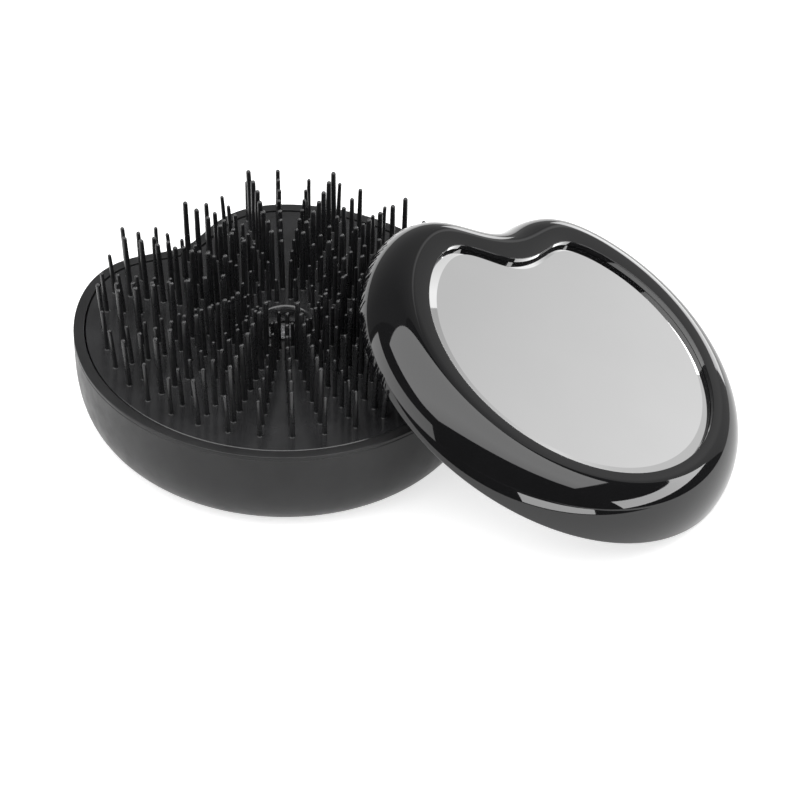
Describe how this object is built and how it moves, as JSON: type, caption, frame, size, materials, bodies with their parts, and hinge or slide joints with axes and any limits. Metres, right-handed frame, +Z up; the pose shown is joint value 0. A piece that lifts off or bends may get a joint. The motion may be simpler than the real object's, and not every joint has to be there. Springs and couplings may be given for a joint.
{
  "type": "compact hairbrush with mirror lid",
  "caption": "Round compact palm hairbrush standing on its back, bristles up, with a loose mirror lid leaning over its side.",
  "frame": {"origin": "middle of the flat underside of the brush's base", "axes": "+Z up, out of the bristle deck; +X towards the lowest side of the lid; +Y away from the viewer"},
  "size_m": [0.1419, 0.1043, 0.0459],
  "materials": {
    "shell": "satin",
    "deck": "gloss",
    "bristle": "gloss",
    "lid": "high gloss",
    "steel": "plain",
    "tape": "matte",
    "mirror": "polished"
  },
  "bodies": {
    "base": {"base_shell": "shell", "rim_ring": "shell", "guide_post": "shell", "stop_washer": "steel", "centre_screw": "steel", "deck_spring": "steel"},
    "bristle_deck": {"deck_carrier": "deck", "well_collar": "deck", "bristle_field_01": "bristle", "bristle_field_02": "bristle", "bristle_field_03": "bristle", "bristle_field_04": "bristle", "bristle_field_05": "bristle", "bristle_field_06": "bristle", "bristle_field_07": "bristle", "bristle_field_08": "bristle", "bristle_field_09": "bristle", "bristle_field_10": "bristle", "bristle_field_11": "bristle", "bristle_field_12": "bristle"},
    "lid": {"lid_shell": "lid", "lid_liner": "lid", "catch_front": "lid", "catch_back": "lid", "mirror_tape": "tape", "mirror_glass": "mirror"}
  },
  "joints": [
    {"name": "deck_press", "type": "slide", "parent": "base", "child": "bristle_deck", "axis": [0, 0, 1], "range_m": [-0.009, 0], "stiffness_N_per_m": 200, "springref_m": 0.01, "deforming": ["deck_spring"]},
    {"name": "lid_lift", "type": "slide", "parent": "base", "child": "lid", "axis": [0, 0, 1], "range_m": [0, 0.04]}
  ]
}
